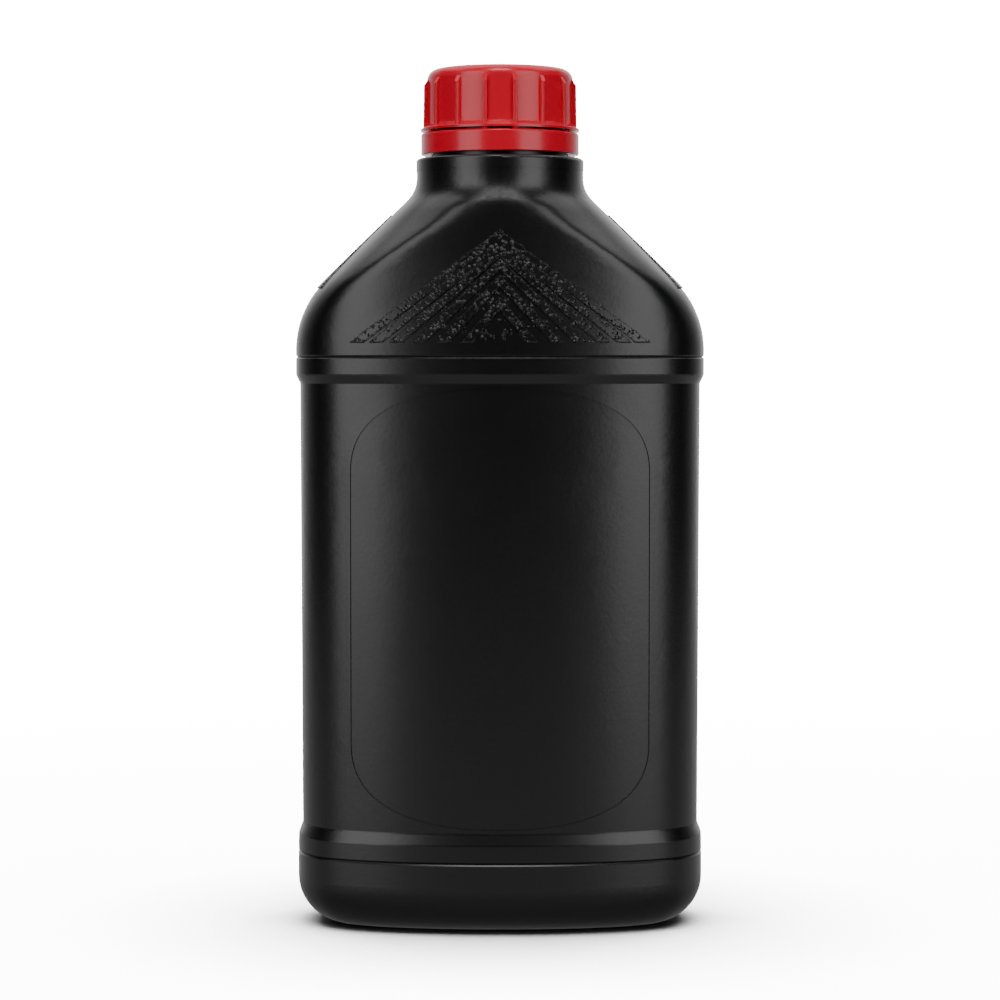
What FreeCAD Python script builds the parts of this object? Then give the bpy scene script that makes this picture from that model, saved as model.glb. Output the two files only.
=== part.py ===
import FreeCAD
import Part
import math
import os

# A one-litre motor oil bottle in black polythene with a red screw cap.
# Lengths are millimetres. The origin is on the floor under the middle of the bottle,
# +Z is up, the label panel faces -Y and the bottle is widest along X.
#
# The bottle is one blow moulding. Its plan is an oval with a flatter front and back, and
# every wall below the shoulder is that plan moved in by a small inset. The shoulder runs
# from the oval to the round collar, and a nearly upright facet cuts it off at the front
# and at the back, so that each facet ends in a soft gable under the collar.
# The cap holds a foam liner. The tamper ring stays on the neck when the cap comes off.

# Plan of the bottle at the upper band: an oval, cut off by a front arc and a back arc
half_width = 57.5
oval_half_depth = 32.5
oval_power = 2.3
front_arc_depth = 30.5
front_arc_radius = 150.0
plan_blend = 6.0

# Wall of the blow moulding
wall = 1.0
base_wall = 1.5

# Foot and push-up under it
foot_inset = 0.35
foot_fillet = 13.0
stand_width = 3.2
push_up = 2.4
push_up_run = 3.0

# Lower band, body and upper band: insets from the plan, and heights
lower_groove_height = 20.0
lower_band_inset = 0.45
lower_band_top = 25.1
body_bottom = 28.1
body_bottom_inset = 1.6
body_top = 152.0
body_top_inset = 1.15
upper_band_bottom = 154.4
upper_groove_height = 159.4
groove_depth = 0.4
groove_half_width = 0.5
band_fillet = 1.2

# Shoulder
shoulder_rounding = 27.0
shoulder_start = 161.3
shoulder_slope = 45.7
flare_radius = 9.0
shoulder_fullness = 35.0
round_blend = 3.3
facet_start = 161.0
facet_bend = 4.0
facet_lean = 6.7
gable_blend = 1.6
gable_height = 195.0

# Label panel, sunk into the front and the back
label_half_width = 41.3
label_bottom = 29.2
label_top = 151.0
label_arch = 23.0
label_arch_fullness = 0.66
label_sink = 0.3

# Grip chevrons on the facets: half-width of each at its foot, and how steep its arms are
chevron_foot = 163.4
chevron_reach = (10.5, 17.2, 23.8, 30.2, 35.9, 41.2)
chevron_slope = (50.0, 47.0, 44.0, 41.0, 38.5, 36.7)
chevron_width = 2.3
chevron_height = 0.4
side_chevron_foot = 178.8
side_chevron_reach = (3.4, 6.7, 10.0)
side_chevron_slope = 64.0

# Collar and neck
collar_radius = 23.55
collar_wall = 1.15
collar_top = 215.0
collar_top_wall = 1.6
ceiling_slope = 1.0
collar_rounding = 1.0
parting_height = 211.4
parting_step = 0.1
neck_root_radius = 19.0
neck_radius = 17.9
neck_bore = 16.0
rim_chamfer = 0.5
bead_radius = 19.9
bead_bottom = 218.8
bead_land = 0.7
bead_cone = 1.9

# Screw thread: two starts
thread_lead = 8.0
thread_starts = 2
thread_turns = 0.9
thread_foot_width = 2.2
thread_crest_width = 0.9
thread_height = 1.15
thread_bottom = 227.3
thread_play = 0.15
thread_crest_gap = 0.2

# Cap, its liner and the tamper ring
cap_top = 240.0
cap_top_wall = 1.8
cap_bottom = 222.6
cap_wall = 1.25
cap_draft = 0.15
cap_rounding = 3.2
lip_reach = 22.3
lip_height = 0.7
lip_slope = 1.0
rib_count = 16
rib_width = 1.2
rib_reach = 1.2
rib_rounding = 0.35
rib_top = 237.4
rib_top_slope = 2.2
liner_thickness = 1.2
liner_gap = 0.25
ring_radius = 22.2
ring_top = 222.1
ring_bottom = 216.0
ring_bead_gap = 0.4
ring_hook_gap = 0.3
ring_rounding = 0.8
ring_foot_rounding = 0.3
bridge_angles = (11.25, 64.5)
bridge_width = 1.3
bridge_depth = 0.9

# Small amounts that one solid sinks into another before they are fused
sink = 0.4
far = 400.0

# How finely the surfaces are laid through their sections
quarter_steps = 30
arc_steps = 6
section_step = 3.4
gable_step = 1.5

# Worked out from the above
rim_height = cap_top - cap_top_wall - liner_thickness
thread_crest = neck_radius + thread_height
cap_bore = thread_crest + thread_crest_gap
cap_radius = cap_bore + cap_wall
slope = math.radians(shoulder_slope)
lean = math.radians(facet_lean)
collar_foot = collar_radius - parting_step


def vector(x, y, z):
    return FreeCAD.Vector(x, y, z)


def smooth_min(a, b, blend):
    """The smaller of two numbers, with the change-over rounded off."""
    near = max(blend - abs(a - b), 0.0) / blend
    return min(a, b) - near * near * blend / 4.0


def rounded_path(corners):
    """Corners (across, up, fillet) become pieces: lines, and arcs tangent to them."""
    pieces = []
    last = corners[0][:2]
    for before, here, after in zip(corners, corners[1:], corners[2:]):
        radius = here[2]
        if radius == 0.0:
            pieces.append([last, here[:2]])
            last = here[:2]
            continue
        back = math.atan2(before[1] - here[1], before[0] - here[0])
        ahead = math.atan2(after[1] - here[1], after[0] - here[0])
        opening = math.remainder(ahead - back, 2.0 * math.pi)
        half = abs(opening) / 2.0
        middle = back + opening / 2.0
        centre_x = here[0] + radius / math.sin(half) * math.cos(middle)
        centre_y = here[1] + radius / math.sin(half) * math.sin(middle)
        turn = math.copysign(math.pi - 2.0 * half, -opening)
        first = middle + math.pi - turn / 2.0
        points = []
        for index in range(arc_steps + 1):
            angle = first + turn * index / arc_steps
            points.append((centre_x + radius * math.cos(angle),
                           centre_y + radius * math.sin(angle)))
        if math.dist(last, points[0]) > 1e-6:
            pieces.append([last, points[0]])
        pieces.append(points)
        last = points[-1]
    pieces.append([last, corners[-1][:2]])
    return pieces


# Sections of the bottle. Each is (half-width, oval half-depth, oval power, front arc
# depth, front arc radius, blend), and is drawn through one quarter and mirrored


def section_reach(angle, section):
    """Distance from the axis to the section along an angle from the X axis."""
    half, deep, power, front, radius, blend = section
    across = abs(math.cos(angle))
    along = abs(math.sin(angle))
    oval = ((across / half) ** power + (along / deep) ** power) ** (-1.0 / power)
    centre = front - radius
    arc = along * centre + math.sqrt(radius ** 2 - (across * centre) ** 2)
    return smooth_min(oval, arc, blend)


def body_section(inset):
    return (half_width - inset, oval_half_depth - inset, oval_power,
            front_arc_depth - inset, front_arc_radius - inset, plan_blend)


def shoulder_reach(height, inset):
    """Half-width of the shoulder, seen from the front: round, straight, then flared."""
    round_x = half_width - shoulder_rounding
    round_radius = shoulder_rounding - inset
    flare_x = collar_foot + flare_radius
    flare = flare_radius + inset
    line = (round_x * math.cos(slope) + shoulder_start * math.sin(slope)
            + shoulder_rounding - inset)
    flare_z = (line + flare - flare_x * math.cos(slope)) / math.sin(slope)
    if height <= shoulder_start:
        return half_width - inset
    if height < shoulder_start + round_radius * math.sin(slope):
        return round_x + math.sqrt(round_radius ** 2 - (height - shoulder_start) ** 2)
    if height < flare_z - flare * math.sin(slope):
        return (line - height * math.sin(slope)) / math.cos(slope)
    if height < flare_z:
        return flare_x - math.sqrt(flare ** 2 - (flare_z - height) ** 2)
    return collar_foot - inset


def facet_depth(height):
    """Depth of the front arc: upright at first, then bent to the lean of the facet."""
    up = max(height - facet_start, 0.0)
    bent = min(up, facet_bend)
    return front_arc_depth - math.tan(lean) * (up - bent + bent * bent / 2.0 / facet_bend)


def shoulder_section(height, inset):
    """Round at the collar, and fuller than the oval further down, behind the facets."""
    reach = shoulder_reach(height, 0.0)
    tip = collar_foot + flare_radius * (1.0 - math.cos(slope))
    share = max(reach - tip, 0.0) / (half_width - tip)
    half = shoulder_reach(height, inset)
    round_limit = collar_foot + round_blend
    deep = (smooth_min(reach, round_limit, round_blend)
            + (oval_half_depth - round_limit) * share
            + shoulder_fullness * share ** 2 * (1.0 - share))
    return (half, deep - reach + half, 2.0 + (oval_power - 2.0) * share ** 2,
            facet_depth(height) - inset, front_arc_radius - inset,
            gable_blend + (plan_blend - gable_blend) * share ** 4)


def shoulder_rows(bottom, top, inset):
    """Sections of the shoulder, closer together near the gable."""
    heights = [bottom]
    while heights[-1] < top - 1.5 * gable_step:
        coarse = heights[-1] < gable_height
        heights.append(heights[-1] + (section_step if coarse else gable_step))
    heights.append(top)
    return [(height, shoulder_section(height, inset)) for height in heights]


def smooth_curve(points, start, end):
    """A curve through evenly numbered points that leaves and arrives along two directions."""
    curve = Part.BSplineCurve()
    curve.interpolate(Points=points, Parameters=[float(i) for i in range(len(points))],
                      InitialTangent=start * points[0].distanceToPoint(points[1]),
                      FinalTangent=end * points[-1].distanceToPoint(points[-2]))
    return curve


def section_curve(height, section):
    """One quarter of a section, as a smooth curve that meets its mirror images squarely."""
    points = []
    for index in range(quarter_steps + 1):
        turn = math.pi / 2.0 * index / quarter_steps
        angle = math.atan2(section[3] * math.sin(turn), section[0] * math.cos(turn))
        reach = section_reach(angle, section)
        points.append(vector(reach * math.cos(angle), reach * math.sin(angle), height))
    points[0].y = 0.0
    points[-1].x = 0.0
    return smooth_curve(points, vector(0, 1, 0), vector(-1, 0, 0))


def quarter_patch(rows):
    """A face through the section curves of the rows: straight for two, smooth for more."""
    curves = [section_curve(height, section) for height, section in rows]
    steps = [0.0]
    for (low, section), (high, following) in zip(rows, rows[1:]):
        steps.append(steps[-1] + math.dist((low, section[0]), (high, following[0])))
    columns = []
    for poles in zip(*[curve.getPoles() for curve in curves]):
        column = Part.BSplineCurve()
        column.interpolate(Points=list(poles), Parameters=steps)
        columns.append(column)
    surface = Part.BSplineSurface()
    surface.buildFromPolesMultsKnots(
        [column.getPoles() for column in columns],
        curves[0].getMultiplicities(), columns[0].getMultiplicities(),
        curves[0].getKnots(), columns[0].getKnots(),
        False, False, curves[0].Degree, columns[0].Degree)
    return surface.toShape()


def mirrored(shape):
    """The four copies of a quarter."""
    other = shape.mirror(vector(0, 0, 0), vector(1, 0, 0))
    return [shape, other, shape.mirror(vector(0, 0, 0), vector(0, 1, 0)),
            other.mirror(vector(0, 0, 0), vector(0, 1, 0))]


def section_rim(height, section):
    return Part.Wire(Part.__sortEdges__(mirrored(section_curve(height, section).toShape())))


def stacked_solid(strips):
    """A solid of strips, each a list of (height, section) rows, with flat ends."""
    faces = []
    for rows in strips:
        if rows[0][0] == rows[-1][0]:
            rims = [section_rim(*rows[0]), section_rim(*rows[-1])]
            faces.append(Part.makeFace(rims, "Part::FaceMakerBullseye"))
        else:
            faces += mirrored(quarter_patch(rows))
    faces.append(Part.Face(section_rim(*strips[0][0])))
    faces.append(Part.Face(section_rim(*strips[-1][-1])))
    shell = Part.makeShell([face for shape in faces for face in shape.Faces])
    shell.sewShape()
    solid = Part.makeSolid(Part.Shell(shell.Faces))
    if solid.Volume < 0:
        solid.reverse()
    return solid


def body_strips(corners):
    """Strips for a path of (inset, height, fillet) corners up the walls of the body."""
    return [[(height, body_section(inset)) for inset, height in piece]
            for piece in rounded_path(corners)]


def make_body():
    """Foot, lower band, body, upper band and shoulder, with the two thin grooves."""
    floor_inset = foot_inset + foot_fillet
    strips = body_strips([
        (floor_inset + stand_width + push_up_run, push_up, 0.0),
        (floor_inset + stand_width, 0.0, 0.0),
        (foot_inset, 0.0, foot_fillet),
        (foot_inset, lower_groove_height - groove_half_width, 0.0),
        (foot_inset + groove_depth, lower_groove_height, 0.0),
        (foot_inset, lower_groove_height + groove_half_width, 0.0),
        (lower_band_inset, lower_band_top, band_fillet),
        (body_bottom_inset, body_bottom, band_fillet),
        (body_top_inset, body_top, 0.0),
        (0.0, upper_band_bottom, band_fillet),
        (0.0, upper_groove_height - groove_half_width, 0.0),
        (groove_depth, upper_groove_height, 0.0),
        (0.0, upper_groove_height + groove_half_width, 0.0),
    ])
    foot = upper_groove_height + groove_half_width
    strips.append(shoulder_rows(foot, parting_height, 0.0))
    return stacked_solid(strips)


def make_cavity():
    """Inside of the body and the shoulder. It follows the outside, a wall further in."""
    floor_inset = foot_inset + foot_fillet
    strips = body_strips([
        (floor_inset + stand_width + push_up_run, push_up + base_wall, 0.0),
        (floor_inset + stand_width, base_wall, 0.0),
        (foot_inset + wall, base_wall, foot_fillet - base_wall),
        (lower_band_inset + wall, lower_band_top, 0.0),
        (body_bottom_inset + wall, body_bottom, 0.0),
        (body_top_inset + wall, body_top, 0.0),
        (wall, upper_band_bottom, 0.0),
        (wall, upper_groove_height, 0.0),
    ])
    strips.append(shoulder_rows(upper_groove_height, parting_height + sink, wall))
    return stacked_solid(strips)


# Label panel and chevrons, as tools that reach in from the front or the back


def label_arc(side, tip, rise, front):
    """Half an arch, upright where it leaves the straight side and level at its tip."""
    half = side * label_half_width
    curve = Part.BezierCurve()
    curve.setPoles([vector(half, front, tip - rise),
                    vector(half, front, tip - rise * (1.0 - label_arch_fullness)),
                    vector(half * label_arch_fullness, front, tip),
                    vector(0.0, front, tip)])
    return curve.toShape()


def label_outline(front):
    """Straight sides with a low arch at the top and bottom."""
    edges = []
    for side in (-1, 1):
        edges.append(label_arc(side, label_top, label_arch, front))
        edges.append(label_arc(side, label_bottom, -label_arch, front))
        half = side * label_half_width
        edges.append(Part.LineSegment(vector(half, front, label_top - label_arch),
                                      vector(half, front, label_bottom + label_arch)).toShape())
    return Part.Wire(Part.__sortEdges__(edges))


def make_label_tool():
    """What is taken off the body over the two label panels, an even depth all over."""
    kept = stacked_solid(body_strips([
        (body_bottom_inset + label_sink, body_bottom, 0.0),
        (body_top_inset + label_sink, body_top, 0.0),
    ]))
    blocks = []
    for side in (-1, 1):
        face = Part.Face(label_outline(side * oval_half_depth))
        blocks.append(face.extrude(vector(0, -side * oval_half_depth, 0)))
    return blocks[0].fuse(blocks[1]).cut(kept)


def chevron_face(reach, angle, foot):
    """An arrowhead strip in the XZ plane that points up, with its arms cut level at the foot."""
    rise = math.tan(math.radians(angle))
    drop = chevron_width / math.cos(math.radians(angle))
    inner = reach - drop / rise
    corners = [(-reach, foot), (0.0, foot + reach * rise), (reach, foot)]
    if inner > 0.0:
        corners += [(inner, foot), (0.0, foot + inner * rise), (-inner, foot)]
    points = [vector(x, 0.0, z) for x, z in corners + corners[:1]]
    return Part.Face(Part.makePolygon(points))


def make_chevrons():
    """Raised grip strips on the four faces of the shoulder, an even height over it."""
    rows = shoulder_rows(shoulder_start, parting_height - flare_radius, -chevron_height)
    layer = stacked_solid([rows])
    front, ends = [], []
    for reach, angle in zip(chevron_reach, chevron_slope):
        face = chevron_face(reach, angle, chevron_foot)
        face.translate(vector(0, -oval_half_depth, 0))
        front.append(face.extrude(vector(0, 2.0 * oval_half_depth, 0)))
    for reach in side_chevron_reach:
        face = chevron_face(reach, side_chevron_slope, side_chevron_foot)
        face.rotate(vector(0, 0, 0), vector(0, 0, 1), 90.0)
        face.translate(vector(-half_width, 0, 0))
        ends.append(face.extrude(vector(2.0 * half_width, 0, 0)))
    return [layer.common(group[0].fuse(group[1:])) for group in (front, ends)]


# Neck finish


def turned(corners):
    """A solid turned about the Z axis from (radius, height, fillet) corners."""
    edges = []
    for piece in rounded_path(corners + corners[:1]):
        points = [vector(r, 0.0, z) for r, z in piece]
        if len(points) > 2:
            edges.append(Part.Arc(points[0], points[arc_steps // 2], points[-1]).toShape())
        else:
            edges.append(Part.LineSegment(points[0], points[-1]).toShape())
    face = Part.Face(Part.Wire(Part.__sortEdges__(edges)))
    return face.revolve(vector(0, 0, 0), vector(0, 0, 1), 360.0)


def make_neck():
    """Collar, neck, the bead that keeps the tamper ring, and the rim."""
    return turned([
        (0.0, parting_height, 0.0),
        (collar_radius, parting_height, 0.0),
        (collar_radius, collar_top, collar_rounding),
        (neck_root_radius, collar_top, 0.0),
        (neck_root_radius, bead_bottom, 0.0),
        (bead_radius, bead_bottom, 0.0),
        (bead_radius, bead_bottom + bead_land, 0.0),
        (neck_radius, bead_bottom + bead_land + bead_cone, 0.0),
        (neck_radius, rim_height - rim_chamfer, 0.0),
        (neck_radius - rim_chamfer, rim_height, 0.0),
        (0.0, rim_height, 0.0),
    ])


def make_neck_cavity():
    """Inside of the collar and the bore through the neck."""
    inside = collar_radius - collar_wall
    ceiling = collar_top - collar_top_wall
    return turned([
        (0.0, parting_height - sink, 0.0),
        (inside, parting_height - sink, 0.0),
        (inside, ceiling - ceiling_slope, 0.0),
        (neck_bore, ceiling, 0.0),
        (neck_bore, rim_height + far, 0.0),
        (0.0, rim_height + far, 0.0),
    ])


def thread_ridges(radius, height, bottom, turns):
    """Ridges of both starts. A positive height stands out, and a negative one points in."""
    outward = math.copysign(1.0, height)
    crest = radius + height
    foot = radius - outward * sink
    widen = (thread_foot_width - thread_crest_width) / abs(height) * sink
    profile = [(foot, -(thread_foot_width + widen) / 2.0), (crest, -thread_crest_width / 2.0),
               (crest, thread_crest_width / 2.0), (foot, (thread_foot_width + widen) / 2.0)]
    points = [vector(r, 0.0, bottom + z) for r, z in profile + profile[:1]]
    helix = Part.makeHelix(thread_lead, thread_lead * turns, radius)
    helix.translate(vector(0, 0, bottom))
    ridge = Part.Wire(helix).makePipeShell([Part.makePolygon(points)], True, True)
    ridges = []
    for start in range(thread_starts):
        copy = ridge.copy()
        copy.rotate(vector(0, 0, 0), vector(0, 0, 1), 360.0 * start / thread_starts)
        ridges.append(copy)
    return ridges


def make_bottle():
    """The blown body, and the neck finish that stands on it at the parting height."""
    body = make_body().fuse(make_chevrons()).cut([make_label_tool(), make_cavity()])
    ridges = thread_ridges(neck_radius, thread_height, thread_bottom, thread_turns)
    neck = make_neck().fuse(ridges).cut(make_neck_cavity())
    return Part.makeCompound(body.removeSplitter().Solids + neck.removeSplitter().Solids)


# Cap, liner and tamper ring


def make_rib():
    """One upright grip rib, rounded along its outer edges and sloped off at its top."""
    foot = cap_radius - cap_wall / 2.0
    outer = cap_radius + rib_reach
    bottom = cap_bottom + lip_height
    points = [vector(r, -rib_width / 2.0, z) for r, z in (
        (foot, bottom), (outer + cap_draft, bottom), (outer, rib_top - rib_top_slope),
        (outer - rib_reach - cap_wall / 4.0, rib_top), (foot, rib_top), (foot, bottom))]
    rib = Part.Face(Part.makePolygon(points)).extrude(vector(0, rib_width, 0))
    upright = [edge for edge in rib.Edges
               if min(v.X for v in edge.Vertexes) > outer - 1e-6
               and edge.Length > 2.0 * rib_width]
    return rib.makeFillet(rib_rounding, upright)


def make_cap():
    ceiling = cap_top - cap_top_wall
    lip_top = cap_bottom + lip_height
    shell = turned([
        (0.0, cap_bottom, 0.0),
        (lip_reach, cap_bottom, 0.0),
        (lip_reach, lip_top, lip_height / 3.0),
        (cap_radius + cap_draft, lip_top + lip_slope, lip_slope / 2.0),
        (cap_radius, cap_top, cap_rounding),
        (0.0, cap_top, 0.0),
    ])
    first_rib = make_rib()
    ribs = []
    for index in range(rib_count):
        rib = first_rib.copy()
        rib.rotate(vector(0, 0, 0), vector(0, 0, 1), 360.0 * (index + 0.5) / rib_count - 90.0)
        ribs.append(rib)
    shell = shell.fuse(ribs)
    bore = Part.makeCylinder(cap_bore, ceiling - cap_bottom + far, vector(0, 0, cap_bottom - far))
    shell = shell.cut(bore)
    taper = (thread_foot_width - thread_crest_width) / 2.0
    below = (thread_foot_width - taper * (cap_bore - neck_radius) / thread_height
             + thread_play)
    ridges = thread_ridges(cap_bore, -thread_height, thread_bottom - below, thread_turns)
    return shell.fuse(ridges).removeSplitter().Solids[0]


def make_liner():
    return Part.makeCylinder(cap_bore - liner_gap, liner_thickness, vector(0, 0, rim_height))


def make_tamper_ring():
    """Ring that hooks under the neck's bead, with the thin bridges up to the cap."""
    inside = bead_radius + ring_bead_gap
    hook = neck_root_radius + ring_hook_gap
    hook_top = bead_bottom - ring_hook_gap
    ring = turned([
        (hook, ring_bottom, 0.0),
        (ring_radius, ring_bottom, ring_foot_rounding),
        (ring_radius, ring_top, ring_rounding),
        (inside, ring_top, 0.0),
        (inside, hook_top + ring_hook_gap, 0.0),
        (hook, hook_top, 0.0),
    ])
    bridges = []
    middle = (inside + ring_radius) / 2.0
    for side in (-90.0, 90.0):
        for angle in bridge_angles:
            for turn in (side - angle, side + angle):
                bridge = Part.makeBox(bridge_depth, bridge_width, cap_bottom - ring_top + sink)
                bridge.translate(vector(middle - bridge_depth / 2.0, -bridge_width / 2.0,
                                        ring_top - sink))
                bridge.rotate(vector(0, 0, 0), vector(0, 0, 1), turn)
                bridges.append(bridge)
    return ring.fuse(bridges).removeSplitter().Solids[0]


def save(shape, name):
    shape.exportStep("parts/" + name + ".step")
    print(name, "solids", len(shape.Solids), "valid", shape.isValid(),
          "volume cm3", round(shape.Volume / 1000.0, 2))


os.makedirs("parts", exist_ok=True)
save(make_bottle(), "bottle")
save(make_cap(), "cap")
save(make_liner(), "cap_liner")
save(make_tamper_ring(), "tamper_ring")
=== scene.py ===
import math

import bpy
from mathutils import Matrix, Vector

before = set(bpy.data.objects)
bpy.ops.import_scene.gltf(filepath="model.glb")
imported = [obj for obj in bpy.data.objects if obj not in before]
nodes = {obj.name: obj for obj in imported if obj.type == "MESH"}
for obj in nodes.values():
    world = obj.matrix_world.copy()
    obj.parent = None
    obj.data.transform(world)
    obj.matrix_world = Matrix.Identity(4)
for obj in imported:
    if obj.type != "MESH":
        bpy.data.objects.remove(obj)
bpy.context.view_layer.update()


# Bottle. One blow moulding in black polythene with a satin skin. The mould gives it a very
# fine grain all over, and coarse pebbled strips on the four faces of the shoulder, where
# the hand grips it. The faces lean in to a round collar under the neck.


class Socket:
    """An output of a node tree that can be written in sums."""

    def __init__(self, tree, output):
        self.tree = tree
        self.output = output

    def node(self, kind, settings, values, output=0):
        """Adds a node with these settings and inputs, and gives one of its outputs."""
        made = self.tree.nodes.new(kind)
        for name, value in settings.items():
            setattr(made, name, value)
        for key, value in values.items():
            if isinstance(value, Socket):
                self.tree.links.new(value.output, made.inputs[key])
            else:
                made.inputs[key].default_value = value
        return Socket(self.tree, made.outputs[output])

    def math(self, operation, *values):
        return self.node("ShaderNodeMath", {"operation": operation}, dict(enumerate(values)))

    def __add__(self, other):
        return self.math("ADD", self, other)

    def __radd__(self, other):
        return self.math("ADD", other, self)

    def __sub__(self, other):
        return self.math("SUBTRACT", self, other)

    def __rsub__(self, other):
        return self.math("SUBTRACT", other, self)

    def __mul__(self, other):
        return self.math("MULTIPLY", self, other)

    def __rmul__(self, other):
        return self.math("MULTIPLY", other, self)

    def __truediv__(self, other):
        return self.math("DIVIDE", self, other)

    def __pow__(self, other):
        return self.math("POWER", self, other)

    def __abs__(self):
        return self.math("ABSOLUTE", self)

    def either(self, other):
        """The greater of the two."""
        return self.math("MAXIMUM", self, other)

    def step(self, start, end):
        """Runs evenly from 0 at the start to 1 at the end, and stays level outside them."""
        return self.node("ShaderNodeMapRange", {},
                         {"Value": self, "From Min": start, "From Max": end})

    def noise(self, scale, detail=2.0):
        """Even noise at this place, from 0 to 1."""
        return self.node("ShaderNodeTexNoise", {},
                         {"Vector": self, "Scale": scale, "Detail": detail})

    def cells(self, scale):
        """How far this place is from the middle of its cell, in cells."""
        return self.node("ShaderNodeTexVoronoi", {}, {"Vector": self, "Scale": scale})

    def axes(self):
        """The X, Y and Z of this place."""
        return [self.node("ShaderNodeSeparateXYZ", {}, {"Vector": self}, axis)
                for axis in range(3)]

    def feed(self, shader, name):
        self.tree.links.new(self.output, shader.inputs[name])


def new_material(name, values):
    """A material with one Principled shader, and the place of a point on the object."""
    material = bpy.data.materials.new(name)
    material.use_nodes = True
    tree = material.node_tree
    shader = tree.nodes["Principled BSDF"]
    for socket, value in values.items():
        shader.inputs[socket].default_value = value
    return material, shader, Socket(tree, None).node("ShaderNodeTexCoord", {}, {}, "Object")


def dress(node, material):
    mesh = nodes[node].data
    mesh.materials.clear()
    mesh.materials.append(material)


black, shader, place = new_material(
    "black_polythene", {"Base Color": (0.0022, 0.0022, 0.0024, 1.0), "IOR": 1.5})
grain = place.noise(900.0)
cloudy = place.noise(45.0, 3.0)

# Grip strips, where they stand up from the moulding: the height where the arms end, and
# how far to the side each arm reaches there and how steeply it rises.
STRIP_FOOT = 0.1634
STRIP_REACH = (0.0105, 0.0172, 0.0238, 0.0302, 0.0359, 0.0412)
STRIP_SLOPE = (50.0, 47.0, 44.0, 41.0, 38.5, 36.7)
STRIP_WIDTH = 0.0023
STRIP_WANDER = 0.0022
STRIP_EDGE = 0.0002
PATCH_DEPTH = 0.05
SIDE_STRIP_FOOT = 0.1788
SIDE_STRIP_REACH = (0.0034, 0.0067, 0.0100)
SIDE_STRIP_SLOPE = 64.0

across, along, height = place.axes()
ragged = place.noise(900.0, 4.0)


def strip(sideways, reach, slope, foot, width=STRIP_WIDTH):
    """1 on an arrowhead strip and 0 off it, with edges that wander by up to a millimetre."""
    turn = math.radians(slope)
    inward = ((foot - height) * math.cos(turn) + (reach - abs(sideways)) * math.sin(turn)
              + (ragged - 0.5) * STRIP_WANDER)
    above_foot = (height - foot).step(-STRIP_EDGE, STRIP_EDGE)
    return above_foot * inward.step(0.0, STRIP_EDGE) * (inward - width).step(0.0, -STRIP_EDGE)


strips = strip(across, STRIP_REACH[0], STRIP_SLOPE[0], STRIP_FOOT)
for reach, slope in zip(STRIP_REACH[1:], STRIP_SLOPE[1:]):
    strips = strips.either(strip(across, reach, slope, STRIP_FOOT))
for reach in SIDE_STRIP_REACH:
    strips = strips.either(strip(along, reach, SIDE_STRIP_SLOPE, SIDE_STRIP_FOOT))

# Pebbles lie thickly on the strips, thinly between them, and thin out to the strips' ends.
THINNING_START = 0.024
THINNING_END = 0.041
pebbles = place.cells(860.0)
sparse = place.noise(420.0)
patch = strip(across, STRIP_REACH[-1], STRIP_SLOPE[-1], STRIP_FOOT, PATCH_DEPTH)
middle = abs(across).step(THINNING_END, THINNING_START)
thick = strips * (sparse + middle * 0.09).step(0.49, 0.57)
thin = patch * (sparse + middle * 0.03).step(0.61, 0.67)
bumps = pebbles.step(0.5, 0.1) * thick.either(thin)
skin = place.node("ShaderNodeBump", {}, {"Height": grain, "Strength": 0.2, "Distance": 0.0001})
relief = strips * (middle * 0.35 + 0.3) + bumps
rough = place.node("ShaderNodeBump", {}, {
    "Height": relief, "Strength": 1.0, "Distance": 0.0004, "Normal": skin})
(0.25 + grain * 0.03 + cloudy * 0.05 - bumps * 0.1).feed(shader, "Roughness")
rough.feed(shader, "Normal")
dress("bottle", black)


# Cap and tamper ring. Moulded together in glossy red plastic. The ring is tied to the cap
# by thin bridges that break when the cap is first turned.

red, shader, place = new_material(
    "red_plastic", {"Base Color": (0.62, 0.005, 0.024, 1.0), "IOR": 1.42})
(0.18 + place.noise(400.0) * 0.08).feed(shader, "Roughness")
dress("cap", red)
dress("tamper_ring", red)


# Liner. A disc of white foam, pushed into the cap, that seals on the rim of the neck.

foam, shader, place = new_material("white_foam", {"Base Color": (0.8, 0.8, 0.77, 1.0)})
(0.7 + place.cells(2500.0) * 0.2).feed(shader, "Roughness")
dress("cap_liner", foam)


# Stage. A white table in a white room, overexposed as in the photograph. The bottle's skin
# doesn't mirror them, as behind a studio's black cards. It mirrors a dim card under it and
# a wall behind it instead, which draws the light lines along its edges. Round the foot, the
# table's colour and the card's glow are darkened as painted shade.

TABLE_HALF = 0.8
PAPER_SOLID = 0.3
PAPER_END = 0.75
FOOT_SHADE_REACH = 0.08
CARD_HALF = 0.9
# The card's dimmed glow round the foot is painted shade.
CARD_SHADED_GLOW = 0.44
CARD_RISE = 0.05
FOOT_HALF_WIDTH = 0.06
FOOT_HALF_DEPTH = 0.03
WALL_DISTANCE = 1.5
WALL_HALF = 4.0
WALL_BOTTOM = -1.5
WALL_TOP = 1.9
ROOM_HALF = 6.0


def sheets(name, points, faces, material, unseen):
    """Flat stage faces, left out of some kinds of ray."""
    mesh = bpy.data.meshes.new(name)
    mesh.from_pydata(points, [], faces)
    mesh.materials.append(material)
    made = bpy.data.objects.new(name, mesh)
    for ray in unseen:
        setattr(made, "visible_" + ray, False)
    bpy.context.scene.collection.objects.link(made)
    return made


def white_glow(name, strength):
    """A white light source, a little uneven."""
    material, shader, place = new_material(
        name, {"Base Color": (0.0, 0.0, 0.0, 1.0), "Emission Strength": strength})
    return material, shader, place, 0.96 + place.noise(0.5) * 0.03
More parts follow.
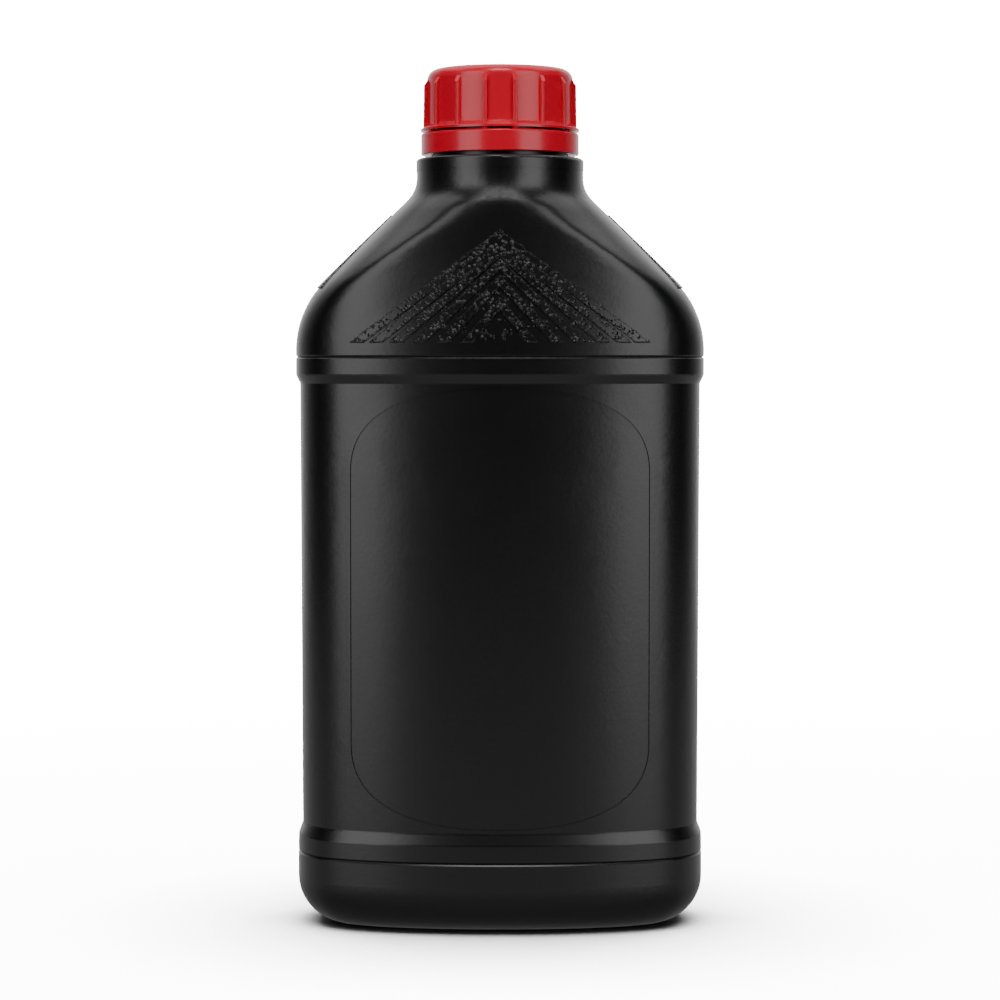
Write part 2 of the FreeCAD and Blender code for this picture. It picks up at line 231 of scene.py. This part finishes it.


# The paper's colour is darkened round the foot by its ambient occlusion. This is painted
# shade, a painted contact shadow. The paper fades out into the room far from the bottle.
paper, shader, place = new_material("white_paper_painted_shade", {})
(0.75 + place.noise(300.0) * 0.1).feed(shader, "Roughness")
open_sky_for_painted_shade = place.node("ShaderNodeAmbientOcclusion", {"samples": 8},
                      {"Distance": FOOT_SHADE_REACH}, "AO")
# Painted shade: the paper's colour darkens where the bottle hides its sky.
(open_sky_for_painted_shade ** 3.0 * 0.9).feed(shader, "Base Color")
across, along = place.axes()[:2]
distance = (across * across + along * along) ** 0.5
distance.step(PAPER_END, PAPER_SOLID).feed(shader, "Alpha")

card_grey, shader, place, even = white_glow("card_grey", 0.46)
across, along = place.axes()[:2]
# Painted shade: the card's glow is dimmed under and round the foot and rises to full outside
# it. It stands in for the table's shadow under the bottle, as the skin mirrors it.
outside = (abs(across) - FOOT_HALF_WIDTH).either(abs(along) - FOOT_HALF_DEPTH)
glow_with_painted_shade = CARD_SHADED_GLOW + outside.step(0.0, CARD_RISE) * (1.0 - CARD_SHADED_GLOW)
(even * glow_with_painted_shade).feed(shader, "Emission Color")

wall_white, shader, place, even = white_glow("wall_white", 2.1)
across = place.axes()[0]
(even / (1.0 + across * across)).feed(shader, "Emission Color")

room_white, shader, place, even = white_glow("room_white", 20.0)
even.feed(shader, "Emission Color")


def square(half, height):
    """The corners of a level square round the bottle's axis."""
    return [(x, y, height) for x, y in ((-half, -half), (half, -half), (half, half),
                                        (-half, half))]


table = sheets("table", square(TABLE_HALF, 0.0), [(0, 1, 2, 3)], paper, ("glossy", "diffuse"))
sheets("card", square(CARD_HALF, -0.002), [(0, 1, 2, 3)], card_grey,
       ("camera", "diffuse", "shadow"))
sheets("wall", [(x, WALL_DISTANCE, z) for x, z in (
    (-WALL_HALF, WALL_BOTTOM), (WALL_HALF, WALL_BOTTOM), (WALL_HALF, WALL_TOP),
    (-WALL_HALF, WALL_TOP))], [(0, 1, 2, 3)], wall_white, ("camera", "diffuse", "shadow"))
sheets("room", square(ROOM_HALF, -0.001) + square(ROOM_HALF, ROOM_HALF),
       [(0, 1, 2, 3), (7, 6, 5, 4), (0, 1, 5, 4), (1, 2, 6, 5), (2, 3, 7, 6), (3, 0, 4, 7)],
       room_white, ("glossy", "diffuse", "shadow"))


# Lights. A tall softbox on each side of the camera, a wide one overhead, a small one above
# the camera, and one that lights the table without showing in the bottle's skin.

SOFTBOX_ANGLE = 45.0
SOFTBOX_DISTANCE = 1.3
SOFTBOX_HEIGHT = 0.60
SOFTBOX_SIZE = (0.85, 1.4)


def softbox(name, place, aim, size, power):
    light = bpy.data.lights.new(name, "AREA")
    light.shape = "RECTANGLE"
    light.size, light.size_y = size
    light.energy = power
    lamp = bpy.data.objects.new(name, light)
    lamp.location = place
    lamp.rotation_euler = (Vector(aim) - Vector(place)).to_track_quat("-Z", "Y").to_euler()
    bpy.context.scene.collection.objects.link(lamp)
    return lamp


for name, side in (("left_softbox", -1.0), ("right_softbox", 1.0)):
    turn = math.radians(SOFTBOX_ANGLE)
    softbox(name, (side * SOFTBOX_DISTANCE * math.sin(turn),
                   -SOFTBOX_DISTANCE * math.cos(turn), SOFTBOX_HEIGHT),
            aim=(0.0, 0.0, 0.12), size=SOFTBOX_SIZE, power=11.5)
softbox("overhead", (0.0, 0.45, 1.5), aim=(0.0, 0.45, 0.0), size=(2.6, 1.2), power=17.0)
softbox("top_front", (0.0, -0.75, 1.45), aim=(0.0, 0.0, 0.2), size=(0.6, 0.5), power=8.0)
table_light = softbox("table_light", (0.0, 0.2, 1.55), aim=(0.0, 0.2, 0.0),
                      size=(2.6, 2.0), power=620.0)
table_light.light_linking.receiver_collection = bpy.data.collections.new("table_only")
table_light.light_linking.receiver_collection.objects.link(table)

world = bpy.data.worlds.new("studio")
bpy.context.scene.world = world
world.use_nodes = True
background = world.node_tree.nodes["Background"]
background.inputs["Color"].default_value = (1.0, 1.0, 1.0, 1.0)
background.inputs["Strength"].default_value = 0.004


# Camera, straight at the front, a little above the middle of the bottle.

CAMERA_DISTANCE = 0.860
CAMERA_HEIGHT = 0.1585
CAMERA_AIM_HEIGHT = 0.119
LENS = 109.6

camera = bpy.data.objects.new("camera", bpy.data.cameras.new("camera"))
camera.data.sensor_width = 36.0
camera.data.lens = LENS
camera.location = (0.0, -CAMERA_DISTANCE, CAMERA_HEIGHT)
towards = Vector((0.0, 0.0, CAMERA_AIM_HEIGHT)) - camera.location
camera.rotation_euler = towards.to_track_quat("-Z", "Y").to_euler()
bpy.context.scene.collection.objects.link(camera)
bpy.context.scene.camera = camera
